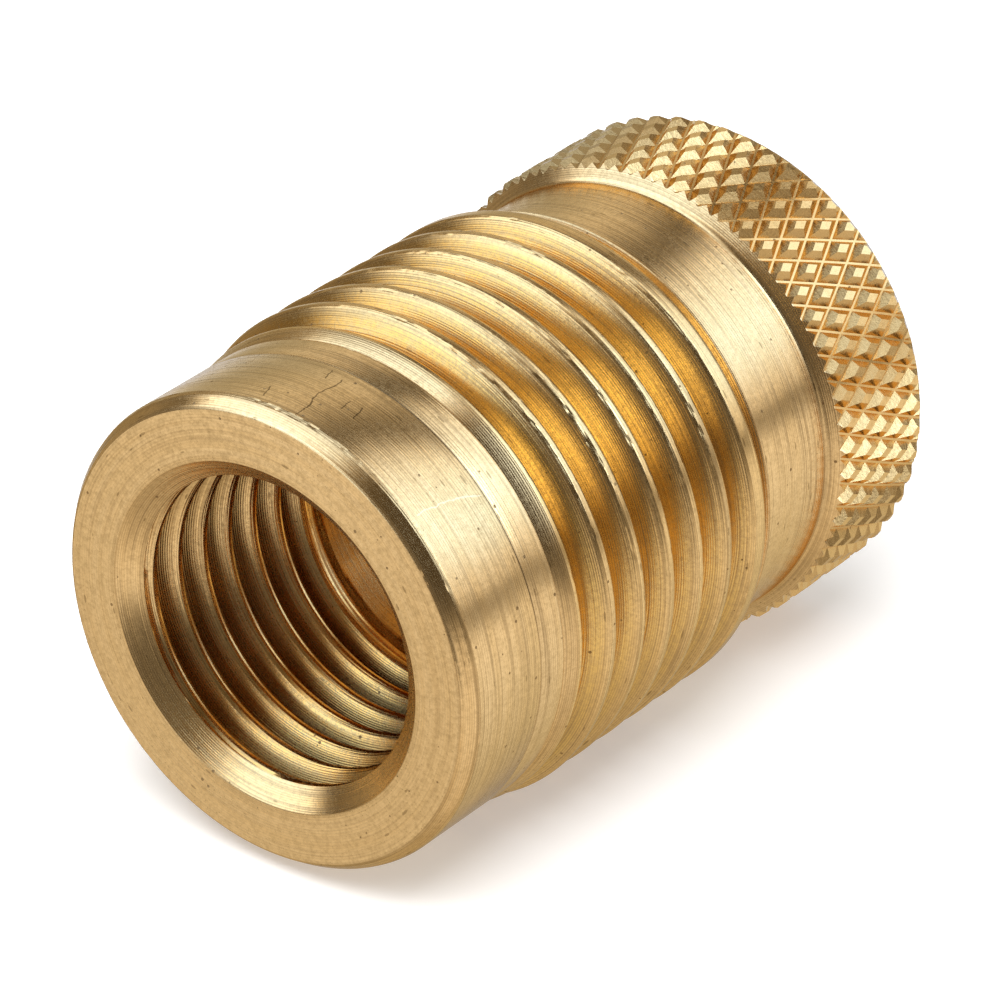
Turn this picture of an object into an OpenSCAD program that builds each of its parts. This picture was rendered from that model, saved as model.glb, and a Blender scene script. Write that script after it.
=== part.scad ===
// Knurled brass threaded insert, M12 x 1.25, turned from bar in one piece.
// It stands on the end face of its knurled head, with the threaded mouth up.

/* [Overall] */
// Length from the head's end face to the pilot's end face
total_l = 24.6; // [23:0.1:40]
// Diameter of the plain pilot, from which the other diameters step out and in
pilot_d = 16.3; // [15.5:0.05:25]

/* [Bore] */
// Diameter of the bore, which is the minor diameter of the M12 x 1.25 thread
bore_d = 10.65; // [6:0.05:12]
// Radial width of the countersink at the pilot's end face
mouth_w = 0.725; // [0.1:0.005:1.2]
// Depth of the countersink
mouth_depth = 0.58; // [0.1:0.01:1.5]
// Size of the 45 degree edge break where the bore leaves the head
exit_break = 0.4; // [0.1:0.05:1]

/* [Pilot] */
// Length of the pilot, from its end face to the foot of the lead cone
pilot_l = 4.85; // [2:0.05:6]
// Radial width of the chamfer round the pilot's end face
chamfer_w = 0.33; // [0.05:0.01:0.5]
// Length of that chamfer along the axis
chamfer_l = 0.46; // [0.05:0.01:1]

/* [Ribs] */
// How far the ribs stand out past the pilot
rib_rise = 0.425; // [0.2:0.005:1]
// Number of full V grooves cut between the ribs
groove_count = 6; // [2:1:7]
// Distance from one groove to the next
groove_pitch = 1.56; // [1.3:0.01:1.9]
// Depth of a groove below the ribs' diameter
groove_depth = 0.9; // [0.4:0.01:1]
// Width of the flat at the bottom of a groove
groove_root_w = 0.2; // [0.05:0.01:0.3]
// Angle between the two walls of a groove
groove_angle = 60; // [50:1:65]
// Distance from the foot of the lead cone to the middle of the first groove
first_groove = 1.2; // [1:0.01:1.6]

/* [Lead rib] */
// How far the foot of the lead cone lies under the pilot's surface
lead_foot_drop = 0.12; // [0.02:0.01:0.4]
// How far the low first rib, behind the lead cone, stands out past the pilot
lead_rib_rise = 0.16; // [0:0.01:0.4]
// Length of the lead cone
lead_cone_l = 0.53; // [0.2:0.01:0.6]

/* [End rib] */
// Width of the flat on the last rib, which is broader than the others
end_rib_w = 0.5; // [0.1:0.05:0.8]
// Length of the bevel behind that flat
end_bevel_l = 0.78; // [0.7:0.01:1.2]
// How far the surface falls over the bevel
end_bevel_drop = 0.305; // [0.1:0.005:0.4]
// Distance from the flat to the middle of the narrow groove in the bevel
end_groove_offset = 0.5; // [0.4:0.01:0.55]
// Depth of the narrow groove below the ribs' diameter
end_groove_depth = 0.55; // [0.4:0.01:0.7]
// Width of the flat at the bottom of the narrow groove
end_groove_root_w = 0.1; // [0.02:0.01:0.15]

/* [Neck] */
// How far the plain neck lies under the pilot's diameter
neck_drop = 0.35; // [0.15:0.01:0.8]
// Radius of the fillet between the neck and the shoulder
neck_fillet_r = 0.25; // [0.05:0.01:0.35]

/* [Head] */
// How far the knurled head stands out past the pilot
head_rise = 0.3; // [0.1:0.01:1]
// Length of the head at its full diameter
head_l = 4.65; // [2:0.05:6]
// Length of the steep shoulder cone that joins the head to the neck
shoulder_l = 0.35; // [0.2:0.01:0.6]
// Radial width of the chamfer round the head's end face, which the knurl runs out on
rim_chamfer_w = 0.3; // [0.05:0.01:0.5]
// Length of that chamfer along the axis
rim_chamfer_l = 0.42; // [0.05:0.01:0.8]

/* [Knurl] */
// Distance from one diamond to the next round the head
knurl_pitch = 0.948; // [0.7:0.002:1.6]
// Distance along the axis between one row of diamonds and the next
knurl_row = 0.92; // [0.6:0.02:1.4]
// Height above the head's end face of the middle of the first whole row
knurl_first_row = 0.54; // [0.3:0.02:0.9]
// Depth of the knurl's crossing grooves
knurl_depth = 0.24; // [0.1:0.01:0.3]
// Width of the blunt bottom of those grooves
knurl_root_w = 0.08; // [0.02:0.01:0.15]
// Flat top of a diamond, as a share of the whole diamond's width
knurl_flat = 0.375; // [0.1:0.005:0.6]

/* [Hidden] */

$fn = 96;
// Reach of a cutting shape past the face that it cuts
overcut = 1;
// How far the head's envelope stands clear of the knurl's tops
knurl_clear = 0.05;
// Number of straight steps in the fillet's quarter turn
fillet_steps = 6;

pilot_r = pilot_d / 2;
rib_r = pilot_r + rib_rise;
lead_foot_r = pilot_r - lead_foot_drop;
lead_rib_r = pilot_r + lead_rib_rise;
neck_r = pilot_r - neck_drop;
head_r = pilot_r + head_rise;
// Radius of the low ridge where the bevel ends
end_ridge_r = rib_r - end_bevel_drop;

// The knurling wheel's pitch is fixed, so the count follows the head's girth
knurl_count = round(2 * PI * head_r / knurl_pitch);
knurl_half_pitch = PI * head_r / knurl_count;

// Heights of the main stations above the head's end face
pilot_foot_z = total_l - pilot_l;
lead_top_z = pilot_foot_z - lead_cone_l;
first_groove_z = pilot_foot_z - first_groove;
last_groove_z = first_groove_z - (groove_count - 1) * groove_pitch;
// Half the width of a full groove at the ribs' diameter
groove_half_w = groove_root_w / 2 + groove_depth * tan(groove_angle / 2);
end_bevel_z = last_groove_z - groove_half_w - end_rib_w;
end_groove_z = end_bevel_z - end_groove_offset;
end_chamfer_z = end_bevel_z - end_bevel_l;
neck_foot_z = head_l + shoulder_l;

// Half of the section of the turned blank above the shoulder. It steps from the lead rib's
// diameter to the full one in the middle of the first groove, and ends in a 45 degree chamfer.
module blank_section()
    polygon([
        [0, neck_foot_z],
        [neck_r, neck_foot_z],
        [neck_r, end_chamfer_z - (end_ridge_r - neck_r)],
        [end_ridge_r, end_chamfer_z],
        [rib_r, end_bevel_z],
        [rib_r, first_groove_z],
        [lead_rib_r, first_groove_z],
        [lead_rib_r, lead_top_z],
        [lead_foot_r, pilot_foot_z],
        [pilot_r, pilot_foot_z],
        [pilot_r, total_l - chamfer_l],
        [pilot_r - chamfer_w, total_l],
        [0, total_l]
    ]);

// Section of one V groove, centred on z = 0 and open past the ribs' diameter
module groove_section(depth, root_w) {
    open_half_w = root_w / 2 + (depth + overcut) * tan(groove_angle / 2);
    root_r = rib_r - depth;
    polygon([
        [root_r, -root_w / 2],
        [root_r, root_w / 2],
        [rib_r + overcut, open_half_w],
        [rib_r + overcut, -open_half_w]
    ]);
}

// Pilot, ribs and neck: one turned outline, with the grooves cut in it
module turned_shank()
    rotate_extrude()
        difference() {
            blank_section();
            for (i = [0 : groove_count - 1])
                translate([0, first_groove_z - i * groove_pitch])
                    groove_section(groove_depth, groove_root_w);
            translate([0, end_groove_z])
                groove_section(end_groove_depth, end_groove_root_w);
        }

// The head's two cones and its fillet, open outwards past the knurl's tops
module head_envelope() {
    shoulder_angle = atan2(shoulder_l, head_r - neck_r);
    fillet_turn = 90 - shoulder_angle;
    // The fillet touches the neck at this height, and its centre is level with it
    fillet_top_z = neck_foot_z + neck_fillet_r * tan(fillet_turn / 2);
    fillet_arc = [
        for (i = [0 : fillet_steps])
            let (a = 180 + fillet_turn * i / fillet_steps)
                [neck_r + neck_fillet_r, fillet_top_z] + neck_fillet_r * [cos(a), sin(a)]
    ];
    rotate_extrude()
        polygon(concat(
            [[0, fillet_top_z]],
            fillet_arc,
            [
                [head_r + knurl_clear, head_l - knurl_clear * tan(shoulder_angle)],
                [head_r + knurl_clear, rim_chamfer_l * (1 + knurl_clear / rim_chamfer_w)],
                [head_r - rim_chamfer_w, 0],
                [0, 0]
            ]
        ));
}

// A point of the knurl: i counts half diamonds round the head, j counts rows up it
function knurl_point(i, j, r) =
    let (a = i * 180 / knurl_count)
        [r * cos(a), r * sin(a), knurl_first_row + j * knurl_row];

// Diamond knurl as one closed solid, longer than the head at both ends.
// The grooves cross at the lattice points where i + j is even, and a diamond
// with a flat top stands on each lattice point where i + j is odd.
module knurl_solid() {
    columns = 2 * knurl_count;
    low_row = -ceil(knurl_first_row / knurl_row) - 1;
    high_row = ceil((neck_foot_z - knurl_first_row) / knurl_row) + 1;
    groove_r = head_r - knurl_depth;
    // Distance from a diamond's middle, square to a groove, to the groove's middle
    lane = knurl_half_pitch * knurl_row / norm([knurl_half_pitch, knurl_row]);
    root = knurl_root_w / 2 / lane;

    // Each lattice point has four corners: west, south, east and north
    corners = [[-1, 0], [0, -1], [1, 0], [0, 1]];
    west = 0;
    south = 1;
    east = 2;
    north = 3;
    crossings = [
        for (j = [low_row : high_row]) for (i = [0 : columns - 1])
            if ((i + j) % 2 == 0)
                for (c = corners)
                    knurl_point(i + root * c[0], j + root * c[1], groove_r)
    ];
    tops = [
        for (j = [low_row + 1 : high_row - 1]) for (i = [0 : columns - 1])
            if ((i + j) % 2 != 0)
                for (c = corners)
                    knurl_point(i + knurl_flat * c[0], j + knurl_flat * c[1], head_r)
    ];

    // Index of the first corner of the crossing, and of the diamond's top, at (i, j)
    function crossing(i, j) =
        4 * ((j - low_row) * knurl_count + floor((i + columns) % columns / 2));
    function top(i, j) =
        len(crossings) + 4 * ((j - low_row - 1) * knurl_count + floor(i / 2));
    // The diamond's own foot in direction k is the facing corner of the crossing there
    function foot(i, j, k) =
        crossing(i + corners[k][0], j + corners[k][1]) + (k + 2) % 4;

    diamond_faces = [
        for (j = [low_row + 1 : high_row - 1]) for (i = [0 : columns - 1])
            if ((i + j) % 2 != 0)
                let (t = top(i, j))
                    for (f = [
                        [t + north, t + east, t + south, t + west],
                        for (k = [0 : 3])
                            let (n = (k + 1) % 4)
                                [t + k, t + n, foot(i, j, n), foot(i, j, k)]
                    ])
                        f
    ];
    // The grooves' bottoms: a square where two cross, and strips that climb from it
    root_faces = [
        for (j = [low_row : high_row]) for (i = [0 : columns - 1])
            if ((i + j) % 2 == 0)
                let (
                    c = crossing(i, j),
                    right = crossing(i + 1, j + 1),
                    left = crossing(i - 1, j + 1)
                )
                    for (f = [
                        [
                            if (j < high_row) c + north,
                            c + east,
                            if (j > low_row) c + south,
                            c + west
                        ],
                        if (j < high_row)
                            [c + north, right + west, right + south, c + east],
                        if (j < high_row)
                            [c + west, left + south, left + east, c + north]
                    ])
                        f
    ];
    // Slivers that fill the zigzag edges level with the two end rows
    edge_faces = [
        for (i = [0 : columns - 1])
            if ((i + low_row) % 2 != 0)
                [foot(i, low_row, west), foot(i, low_row, north), foot(i, low_row, east)],
        for (i = [0 : columns - 1])
            if ((i + high_row) % 2 != 0)
                [foot(i, high_row, east), foot(i, high_row, south), foot(i, high_row, west)]
    ];
    last = len(crossings) - 4 * knurl_count;
    end_faces = [
        [for (n = [0 : knurl_count - 1]) for (k = [west, east]) 4 * n + k],
        [for (n = [knurl_count - 1 : -1 : 0]) for (k = [east, west]) last + 4 * n + k]
    ];
    polyhedron(
        points = concat(crossings, tops),
        faces = concat(diamond_faces, root_faces, edge_faces, end_faces)
    );
}

module knurled_head()
    intersection() {
        knurl_solid();
        head_envelope();
    }

// The bore with its countersink at the mouth and the edge break in the head
module bore() {
    mouth_slope = mouth_w / mouth_depth;
    translate([0, 0, -overcut])
        cylinder(d = bore_d, h = total_l + 2 * overcut);
    translate([0, 0, total_l - mouth_depth])
        cylinder(
            d1 = bore_d,
            d2 = bore_d + 2 * mouth_slope * (mouth_depth + overcut),
            h = mouth_depth + overcut
        );
    translate([0, 0, -overcut])
        cylinder(
            d1 = bore_d + 2 * (exit_break + overcut),
            d2 = bore_d,
            h = exit_break + overcut
        );
}

module insert_body()
    color([0.80, 0.64, 0.35])
        difference() {
            union() {
                turned_shank();
                knurled_head();
            }
            bore();
        }

insert_body();
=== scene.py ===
"""Looks of the knurled brass threaded insert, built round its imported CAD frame.

One closed mesh stands for the CAD node: the turned outside with its ribs, the diamond knurl
and the tapped bore. Sizes here are in millimetres and are turned into metres in the mesh.
"""

import math

import bpy
import numpy as np
from mathutils import Matrix, Vector


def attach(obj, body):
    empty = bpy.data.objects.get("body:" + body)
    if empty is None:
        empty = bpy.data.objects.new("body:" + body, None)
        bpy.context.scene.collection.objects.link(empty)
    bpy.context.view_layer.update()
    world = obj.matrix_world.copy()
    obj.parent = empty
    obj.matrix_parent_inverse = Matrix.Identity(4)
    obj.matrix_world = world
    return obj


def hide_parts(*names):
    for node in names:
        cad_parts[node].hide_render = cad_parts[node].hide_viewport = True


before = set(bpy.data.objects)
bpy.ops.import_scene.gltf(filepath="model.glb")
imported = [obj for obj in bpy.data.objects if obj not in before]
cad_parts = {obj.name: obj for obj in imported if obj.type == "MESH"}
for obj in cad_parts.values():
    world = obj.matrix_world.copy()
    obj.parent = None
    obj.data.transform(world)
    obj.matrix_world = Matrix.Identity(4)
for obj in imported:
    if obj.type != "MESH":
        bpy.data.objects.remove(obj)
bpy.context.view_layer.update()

MM = 0.001
rng = np.random.default_rng(12)

# Sizes of the part, as in the CAD model
TOTAL_L = 24.6
BORE_R = 5.325
MOUTH_R, MOUTH_DEPTH = 6.05, 0.58
EXIT_BREAK = 0.4
PILOT_R, PILOT_L = 8.15, 4.85
FACE_R, CHAMFER_L = 7.82, 0.46
RIB_R, GROOVE_PITCH, GROOVE_DEPTH, GROOVE_ROOT_W = 8.575, 1.56, 0.9, 0.2
GROOVE_COUNT, FIRST_GROOVE = 6, 1.2
LEAD_FOOT_R, LEAD_R, LEAD_L = 8.03, 8.31, 0.53
END_RIB_W, END_BEVEL_L, END_RIDGE_R = 0.5, 0.78, 8.27
END_GROOVE_OFFSET, END_GROOVE_DEPTH, END_GROOVE_ROOT_W = 0.5, 0.55, 0.1
NECK_R, NECK_FILLET_R = 7.8, 0.25
HEAD_R, HEAD_L, SHOULDER_L, RIM_W, RIM_L = 8.45, 4.65, 0.35, 0.3, 0.42
KNURL_COUNT, KNURL_ROW, KNURL_FIRST_ROW = 56, 0.92, 0.54
KNURL_DEPTH, KNURL_FLAT, KNURL_ROOT_W = 0.24, 0.375, 0.08
TAN30 = math.tan(math.radians(30))

# Heights that follow from them: the pilot's foot, the first groove's middle, and the end rib's
# bevel, ridge and foot
FOOT_Z = TOTAL_L - PILOT_L
FIRST_GROOVE_Z = FOOT_Z - FIRST_GROOVE
GROOVE_HALF_W = GROOVE_ROOT_W / 2 + GROOVE_DEPTH * TAN30
BEVEL_Z = FIRST_GROOVE_Z - (GROOVE_COUNT - 1) * GROOVE_PITCH - GROOVE_HALF_W - END_RIB_W
RIDGE_Z = BEVEL_Z - END_BEVEL_L
RIDGE_FOOT_Z = RIDGE_Z - (END_RIDGE_R - NECK_R)

# Internal thread M12 x 1.25: depth of its grooves, and where they start and fade out,
# as distances from the pilot's end face
THREAD_PITCH, THREAD_DEPTH = 1.25, 0.677
THREAD_START, THREAD_END, THREAD_FADE = 0.62, 9.25, 1.3
# Its plain wall starts this far below where it ends
THREAD_RUNOUT = 0.1
# How far above the thread's lower end a crest passes the bore's +X side, how round the crests
# are worn, and the faces in a pitch
THREAD_PHASE, THREAD_ROUNDING, THREAD_STEPS = 0.55, 0.6, 14

# Softened edges; one cut by more than BURR_EDGE has burrs
EDGE, FINE_EDGE, BURR_EDGE, RIM_EDGE = 0.045, 0.02, 0.03, 0.03
# Plain rings beside an edge with burrs, as multiples of its cut
PLAIN_NEAR, PLAIN_FAR = 2.1, 2.5
# How far burrs stand out, bite in and lean along the axis, and how far the edge is worn back,
# as shares of its cut
BURR_OUT, BURR_IN, BURR_LEAN, EDGE_WORN = 0.2, 1.0, 0.25, 0.3
# Burrs stand where a random wave round the ring, from -1 to 1, is over BURR_FROM, and fully where
# it is over that by BURR_RISE; they are thickest at this angle from the viewer's side
BURR_WAVES, BURR_FROM, BURR_RISE, BURR_SIDE = 40, -0.05, 0.25, math.radians(60)
# Wear of the rings and of the knurl's points, and how far apart rings may lie and be worn alike
RING_WEAR, KNURL_WEAR, WORN_ALIKE = 0.0015, 0.008, 0.1

# Distance between the turning tool's marks
FEED = 0.1

# Fine line scribed round the pilot
SCRIBE_Z, SCRIBE_W, SCRIBE_DEPTH = TOTAL_L - 3.6, 0.05, 0.008

# Flaws on the pilot, as turn from the viewer's side in degrees and distance from the mouth
CRACKS = (
    ((-39.8, 0.6), (-39.6, 1.15), (-40.8, 1.6), (-41.5, 2.05), (-41.3, 2.3), (-40.7, 2.65), (-41.1, 3.1)),
    ((-50.1, 0.85), (-51.5, 1.45)),
    ((-44.4, 2.85), (-45.2, 3.35)),
    ((-34.6, 1.9), (-34.8, 2.4)),
    ((-30.6, 1.8), (-31.6, 2.45)),
)
SCRATCH = ((-4.4, 0.85), (-3.0, 2.45), (-0.7, 3.45))
CRACK_HALF_W, SCRATCH_HALF_W = 0.034, 0.04

# Mesh divisions round the axis, and the angle over which an edge is sharp
TURNED_COLUMNS = 480
BORE_COLUMNS = 288
SHARP_ANGLE = math.radians(18)

# Where the photograph is taken from, as an angle round the axis
VIEW_AZIMUTH = math.radians(-93.11)


# ---------------------------------------------------------------- mesh

class Skin:
    """Collects rings of points and the faces between them."""

    def __init__(self):
        self.points = []
        self.faces = []
        self.size = 0

    def add(self, xyz):
        start = self.size
        self.points.append(xyz)
        self.size += len(xyz)
        return np.arange(start, self.size)

    def ring(self, r, z, count):
        a = 2 * math.pi * np.arange(count) / count
        r, z = np.broadcast_to(r, count), np.broadcast_to(z, count)
        return self.add(np.stack([r * np.cos(a), r * np.sin(a), z], 1))

    def join(self, low, high):
        """Faces from one ring to the next; rings of different counts are zipped by angle."""
        if len(low) == len(high):
            low2, high2 = np.roll(low, -1), np.roll(high, -1)
            self.faces += np.stack([low, low2, high2, high], 1).tolist()
            return
        xyz = np.concatenate(self.points)
        turns = []
        for ring in (low, high):
            a = np.mod(np.arctan2(xyz[ring, 1], xyz[ring, 0]), 2 * math.pi)
            turns.append(np.append(a, a[0] + 2 * math.pi))
        n, m = len(low), len(high)
        i = j = 0
        while i < n or j < m:
            if j == m or (i < n and turns[0][i + 1] <= turns[1][j + 1]):
                self.faces.append([int(low[i % n]), int(low[(i + 1) % n]), int(high[j % m])])
                i += 1
            else:
                self.faces.append([int(low[i % n]), int(high[(j + 1) % m]), int(high[j % m])])
                j += 1


def wobble(count, amount, waves=60):
    """Smooth random variation round a ring, from -amount to amount."""
    a = 2 * math.pi * np.arange(count) / count
    k = np.arange(1, waves + 1)[:, None]
    size = rng.normal(size=(waves, 1)) / np.sqrt(k)
    total = (size * np.cos(k * a + rng.uniform(0, 2 * math.pi, (waves, 1)))).sum(0)
    return amount * total / np.abs(total).max()


def burrs(count):
    """Ragged runs round an edge, -1 to 1, with plain edge between them.

    They are thickest on the side that the photograph shows at the upper left.
    """
    a = 2 * math.pi * np.arange(count) / count
    torn = rng.uniform(-1, 1, count)
    torn = 0.5 * torn + 0.25 * (np.roll(torn, 1) + np.roll(torn, -1))
    runs = np.clip((wobble(count, 1.0, BURR_WAVES) - BURR_FROM) / BURR_RISE, 0, 1)
    side = 0.5 + 0.5 * np.cos(a - VIEW_AZIMUTH - BURR_SIDE)
    return torn * runs * side


def knurl_facets():
    """The knurl's plane facets, each a list of corners (i, z, r).

    i counts half diamonds round the head. The grooves cross where i + j is even, and
    a diamond stands where it is odd.
    """
    half_pitch = math.pi * HEAD_R / KNURL_COUNT
    # Half the distance between two grooves, and half of a groove's bottom as a share of it
    lane = half_pitch * KNURL_ROW / math.hypot(half_pitch, KNURL_ROW)
    root = KNURL_ROOT_W / 2 / lane
    compass = ((-1, 0), (0, -1), (1, 0), (0, 1))
    west, south, east, north = range(4)

    def corner(i, j, k, share, r):
        di, dj = compass[k]
        return (i + share * di, KNURL_FIRST_ROW + (j + share * dj) * KNURL_ROW, r)

    def crossing(i, j, k):
        return corner(i, j, k, root, HEAD_R - KNURL_DEPTH)

    def foot(i, j, k):
        return crossing(i + compass[k][0], j + compass[k][1], (k + 2) % 4)

    facets = []
    for j in range(-2, math.ceil(HEAD_L / KNURL_ROW) + 2):
        for i in range(2 * KNURL_COUNT):
            if (i + j) % 2:
                top = [corner(i, j, k, KNURL_FLAT, HEAD_R) for k in range(4)]
                facets.append(top)
                for k in range(4):
                    n = (k + 1) % 4
                    facets.append([top[k], foot(i, j, k), foot(i, j, n), top[n]])
                continue
            facets.append([crossing(i, j, k) for k in range(4)])
            facets.append([
                crossing(i, j, east), crossing(i + 1, j + 1, south),
                crossing(i + 1, j + 1, west), crossing(i, j, north),
            ])
            facets.append([
                crossing(i, j, west), crossing(i, j, north),
                crossing(i - 1, j + 1, east), crossing(i - 1, j + 1, south),
            ])
    return facets


def clipped(facet, inside):
    """The part of a facet where the linear function inside(i, z, r) isn't negative."""
    out = []
    values = [inside(*p) for p in facet]
    for here, after, v, w in zip(facet, facet[1:] + facet[:1], values, values[1:] + values[:1]):
        if v >= 0:
            out.append(here)
        if (v > 0 > w) or (v < 0 < w):
            if v > 0:
                out.append(tuple(a + (b - a) * v / (v - w) for a, b in zip(here, after)))
            else:
                out.append(tuple(a + (b - a) * w / (w - v) for a, b in zip(after, here)))
    return out


def knurl_outline():
    """Outline (z, r) that cuts the knurl: softened edge, rim chamfer, nothing, shoulder cone."""
    slope = (HEAD_R - NECK_R) / SHOULDER_L
    past_grooves = KNURL_DEPTH + 0.04
    top_z = HEAD_L + past_grooves / slope
    return [
        (0, HEAD_R - RIM_W - RIM_EDGE), (RIM_EDGE, HEAD_R - RIM_W + RIM_EDGE * RIM_W / RIM_L),
        (RIM_L, HEAD_R), (HEAD_L, HEAD_R), (top_z, HEAD_R - (top_z - HEAD_L) * slope),
    ]


def cut_facets(outline):
    """The parts of the knurl's facets inside an outline, and those outside it laid on its cones."""
    for facet in knurl_facets():
        for (z0, r0), (z1, r1) in zip(outline, outline[1:]):
            piece = clipped(clipped(facet, lambda i, z, r: z - z0), lambda i, z, r: z1 - z)
            if len(piece) < 3:
                continue
            lean = (r1 - r0) / (z1 - z0)
            yield clipped(piece, lambda i, z, r: r0 + lean * (z - z0) - r)
            if r0 != r1:
                outer = clipped(piece, lambda i, z, r: r - r0 - lean * (z - z0))
                yield [(i, z, r0 + lean * (z - z0)) for i, z, r in outer]


def add_knurl(skin):
    """The head from the end face to the shoulder. Returns its first and last rings."""
    outline = knurl_outline()
    top_z = outline[-1][0]
    index = {}
    # Points are one where i and z agree to one part in this many, of a half diamond and of a mm
    grid = 20000

    def point(i, z, r):
        key = (round(i * grid) % (2 * KNURL_COUNT * grid), round(z * grid))
        if key not in index:
            index[key] = (len(index), i, z, r)
        return index[key][0]

    faces = []
    for part in cut_facets(outline):
        face = [point(*p) for p in part]
        face = [v for n, v in enumerate(face) if v != face[n - 1]]
        if len(face) > 2 and flat_area(part) > 1e-9:
            faces.append(face)
    i, z, r = (np.array([v[k] for v in index.values()]) for k in (1, 2, 3))
    a = i * math.pi / KNURL_COUNT
    worn = r - np.where((z > 0) & (z < top_z), rng.uniform(0, KNURL_WEAR, len(r)), 0)
    places = skin.add(np.stack([worn * np.cos(a), worn * np.sin(a), z], 1))
    skin.faces += [[int(places[v]) for v in face] for face in faces]
    around = np.mod(a, 2 * math.pi)
    rings = []
    for level in (0, top_z):
        on_level = np.flatnonzero(np.abs(z - level) < 1e-6)
        rings.append(places[on_level[np.argsort(around[on_level])]])
    return rings


def flat_area(corners):
    """Area of a facet laid flat in (i, z)."""
    i, z = (np.array([p[k] for p in corners]) for k in (0, 1))
    return 0.5 * abs(np.sum(i * np.roll(z, -1) - np.roll(i, -1) * z)) if len(corners) else 0


def softened(points, sizes):
    """Cuts each corner of an outline by its own small size; 0 keeps it.

    Each point of the result is r, z and the size of its corner's cut. Beside a corner that gets
    burrs, two plain points on each side keep them off the walls.
    """
    out = [(*points[0], 0)]
    for before, here, after, size in zip(points, points[1:], points[2:], sizes[1:]):
        if size == 0:
            out.append((*here, 0))
            continue
        back, on = (np.subtract(other, here) / math.dist(other, here) for other in (before, after))
        cut = [(*(here + back * size), size), (*(here + on * size), size)]
        if size > BURR_EDGE:
            before_cut = [(*(here + back * size * reach), 0) for reach in (PLAIN_FAR, PLAIN_NEAR)]
            after_cut = [(*(here + on * size * reach), 0) for reach in (PLAIN_NEAR, PLAIN_FAR)]
            cut = before_cut + cut + after_cut
        out += cut
    return out + [(*points[-1], 0)]


def neck_fillet():
    """The arc (r, z) from the shoulder's cone into the neck."""
    turn = math.pi / 2 - math.atan2(SHOULDER_L, HEAD_R - NECK_R)
    end_z = HEAD_L + SHOULDER_L + NECK_FILLET_R * math.tan(turn / 2)
    steps = 5
    return [
        (
            NECK_R + NECK_FILLET_R * (1 + math.cos(math.pi + turn * k / steps)),
            end_z + NECK_FILLET_R * math.sin(math.pi + turn * k / steps),
        )
        for k in range(steps, -1, -1)
    ]


def end_groove_meets():
    """Where the narrow groove's walls meet the end rib's bevel, below and above its middle."""
    slope = (RIB_R - END_RIDGE_R) / END_BEVEL_L
    depth = END_GROOVE_DEPTH - slope * END_GROOVE_OFFSET + END_GROOVE_ROOT_W / 2 / TAN30
    middle_z = BEVEL_Z - END_GROOVE_OFFSET
    meets = []
    for side in (-1, 1):
        dz = depth * TAN30 / (1 - side * slope * TAN30)
        meets.append((RIB_R + slope * (middle_z + side * dz - BEVEL_Z), middle_z + side * dz))
    return meets


def turned_outline():
    """Outline (r, z) from the neck's foot up to the countersink, with an edge size each."""
    fillet = neck_fillet()
    below, above_it = end_groove_meets()
    middle_z = BEVEL_Z - END_GROOVE_OFFSET
    root_r = RIB_R - END_GROOVE_DEPTH
    out = [(*place, 0) for place in fillet]
    out += [
        (NECK_R, (fillet[-1][1] + RIDGE_Z) / 2, 0),
        (NECK_R, RIDGE_FOOT_Z, 0),
        (END_RIDGE_R, RIDGE_Z, FINE_EDGE),
        (*below, FINE_EDGE),
        (root_r, middle_z - END_GROOVE_ROOT_W / 2, 0),
        (root_r, middle_z + END_GROOVE_ROOT_W / 2, 0),
        (*above_it, FINE_EDGE),
        (RIB_R, BEVEL_Z, FINE_EDGE),
    ]
    for k in range(GROOVE_COUNT - 1, -1, -1):
        z = FIRST_GROOVE_Z - k * GROOVE_PITCH
        top_r = RIB_R if k else LEAD_R
        out += [
            (RIB_R, z - GROOVE_HALF_W, EDGE),
            (RIB_R - GROOVE_DEPTH, z - GROOVE_ROOT_W / 2, 0),
            (RIB_R - GROOVE_DEPTH, z + GROOVE_ROOT_W / 2, 0),
            (top_r, z + GROOVE_HALF_W - (RIB_R - top_r) * TAN30, EDGE),
        ]
    out += [
        (LEAD_R, FOOT_Z - LEAD_L, FINE_EDGE),
        (LEAD_FOOT_R, FOOT_Z, 0),
        (PILOT_R, FOOT_Z, EDGE),
        (PILOT_R, SCRIBE_Z - SCRIBE_W / 2, 0),
        (PILOT_R - SCRIBE_DEPTH, SCRIBE_Z, 0),
        (PILOT_R, SCRIBE_Z + SCRIBE_W / 2, 0),
        (PILOT_R, TOTAL_L - 0.25 * PILOT_L, 0),
        (PILOT_R, TOTAL_L - CHAMFER_L, EDGE),
        (FACE_R, TOTAL_L, EDGE),
        ((FACE_R + MOUTH_R) / 2, TOTAL_L, 0),
        (MOUTH_R, TOTAL_L, FINE_EDGE),
        (BORE_R, TOTAL_L - MOUTH_DEPTH, 0),
    ]
    return softened([p[:2] for p in out], [p[2] for p in out])


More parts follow.
